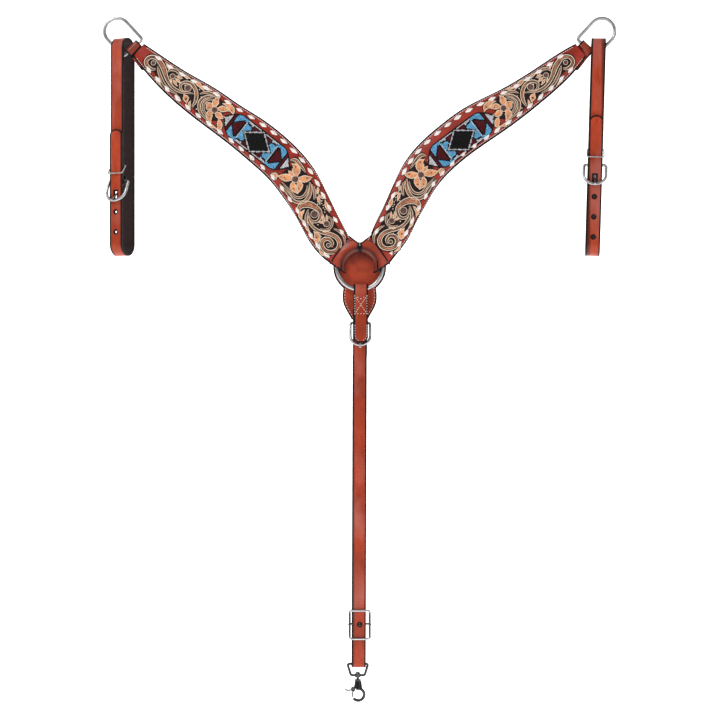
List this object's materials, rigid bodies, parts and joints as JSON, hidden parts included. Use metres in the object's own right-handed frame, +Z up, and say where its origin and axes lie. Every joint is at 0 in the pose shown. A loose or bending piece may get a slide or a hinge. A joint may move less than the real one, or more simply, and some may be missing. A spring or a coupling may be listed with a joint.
{
  "type": "western breast collar",
  "caption": "Western breast collar with tooled leather panels, bead inlays and white lacing on a centre ring, with buckled tug straps, a tie-down strap and a trigger snap.",
  "frame": {"origin": "centre of the centre ring", "axes": "+Z up as the collar hangs, +X to the viewer's right, -Y out of the decorated face"},
  "size_m": [0.8992, 0.059, 1.1999],
  "materials": {
    "tooled_leather": "tooled and painted leather, tan scrolls over rust red",
    "lining_leather": "dark oiled lining leather with burnished black edges",
    "strap_leather": "smooth rust brown harness leather with black edges",
    "glass_beads": "small glossy glass beads in rows",
    "white_lace": "white rawhide lace",
    "bright_steel": "polished stainless steel wire",
    "dark_nickel": "nickel plated, slightly tarnished"
  },
  "bodies": {
    "center_ring": {"center_ring": "bright_steel"},
    "left_panel": {"left_panel_face": "tooled_leather", "left_panel_lining": "lining_leather", "left_bead_inlay": "glass_beads", "left_lace": "white_lace", "left_ring_loop": "strap_leather", "left_end_loop": "strap_leather"},
    "left_end_ring": {"left_end_ring": "bright_steel"},
    "left_tug": {"left_tug_strap": "strap_leather", "left_tug_buckle_frame": "bright_steel"},
    "left_tug_tongue": {"left_tug_buckle_tongue": "bright_steel"},
    "left_tug_keeper": {"left_tug_keeper": "bright_steel"},
    "right_panel": {"right_panel_face": "tooled_leather", "right_panel_lining": "lining_leather", "right_bead_inlay": "glass_beads", "right_lace": "white_lace", "right_ring_loop": "strap_leather", "right_end_loop": "strap_leather"},
    "right_end_ring": {"right_end_ring": "bright_steel"},
    "right_tug": {"right_tug_strap": "strap_leather", "right_tug_buckle_frame": "bright_steel"},
    "right_tug_tongue": {"right_tug_buckle_tongue": "bright_steel"},
    "right_tug_keeper": {"right_tug_keeper": "bright_steel"},
    "drop": {"hub_safe": "strap_leather", "connector_strap": "strap_leather", "drop_chape": "strap_leather", "drop_billet": "strap_leather", "drop_buckle_frame": "bright_steel", "drop_buckle_tongue": "bright_steel"},
    "tie_down": {"tie_down_strap": "strap_leather", "tie_down_tail": "strap_leather", "conway_buckle_frame": "dark_nickel", "conway_buckle_pin": "dark_nickel"},
    "snap_loop": {"snap_loop": "dark_nickel"},
    "snap_body": {"snap_body": "dark_nickel", "snap_pin": "dark_nickel", "snap_spring": "dark_nickel"},
    "snap_trigger": {"snap_trigger": "dark_nickel"}
  },
  "joints": [
    {"name": "left_panel_swing", "type": "hinge", "parent": "center_ring", "child": "left_panel", "pos_m": [0, 0, 0], "axis": [0, -1, 0], "range_deg": [0, 38]},
    {"name": "left_end_ring_fold", "type": "hinge", "parent": "left_panel", "child": "left_end_ring", "pos_m": [-0.39672, 0, 0.38325], "axis": [0.7314, 0, 0.682], "range_deg": [-12, 12]},
    {"name": "left_tug_swing", "type": "hinge", "parent": "left_end_ring", "child": "left_tug", "pos_m": [-0.4172, 0, 0.37207], "axis": [0.682, 0, -0.7314], "range_deg": [-12, 12]},
    {"name": "left_tongue_lift", "type": "hinge", "parent": "left_tug", "child": "left_tug_tongue", "pos_m": [-0.42067, -0.00777, 0.149], "axis": [-0.9135, 0.4067, 0], "range_deg": [0, 5]},
    {"name": "left_keeper_slide", "type": "slide", "parent": "left_tug", "child": "left_tug_keeper", "axis": [0, 0, 1], "range_m": [-0.002, 0.04]},
    {"name": "right_panel_swing", "type": "hinge", "parent": "center_ring", "child": "right_panel", "pos_m": [0, 0, 0], "axis": [0, 1, 0], "range_deg": [0, 38]},
    {"name": "right_end_ring_fold", "type": "hinge", "parent": "right_panel", "child": "right_end_ring", "pos_m": [0.39672, 0, 0.38325], "axis": [-0.7314, 0, 0.682], "range_deg": [-12, 12]},
    {"name": "right_tug_swing", "type": "hinge", "parent": "right_end_ring", "child": "right_tug", "pos_m": [0.4183, 0, 0.37325], "axis": [-0.682, 0, -0.7314], "range_deg": [-12, 12]},
    {"name": "right_tongue_lift", "type": "hinge", "parent": "right_tug", "child": "right_tug_tongue", "pos_m": [0.41082, -0.00845, 0.17708], "axis": [-0.9941, 0.1045, 0.0295], "range_deg": [0, 5]},
    {"name": "right_keeper_slide", "type": "slide", "parent": "right_tug", "child": "right_tug_keeper", "axis": [0.0297, 0, 0.9996], "range_m": [-0.002, 0.04]},
    {"name": "drop_swing", "type": "hinge", "parent": "center_ring", "child": "drop", "pos_m": [0, 0, -0.0397], "axis": [-1, 0, 0], "range_deg": [0, 30]},
    {"name": "tie_down_swing", "type": "hinge", "parent": "drop", "child": "tie_down", "pos_m": [0, -0.0029, -0.155], "axis": [-1, 0, 0], "range_deg": [-30, 50]},
    {"name": "snap_loop_swing", "type": "hinge", "parent": "tie_down", "child": "snap_loop", "pos_m": [-0.0034, 0.0021, -0.6951], "axis": [-1, 0, 0], "range_deg": [-45, 45]},
    {"name": "snap_swivel", "type": "hinge", "parent": "snap_loop", "child": "snap_body", "pos_m": [-0.0034, 0.0021, -0.715], "axis": [0, 0, 1], "continuous": true},
    {"name": "snap_trigger_pull", "type": "hinge", "parent": "snap_body", "child": "snap_trigger", "pos_m": [-0.0116, 0.0021, -0.7392], "axis": [0, -1, 0], "range_deg": [0, 28], "stiffness_Nm_per_rad": 0.02, "springref_deg": -17.19}
  ]
}
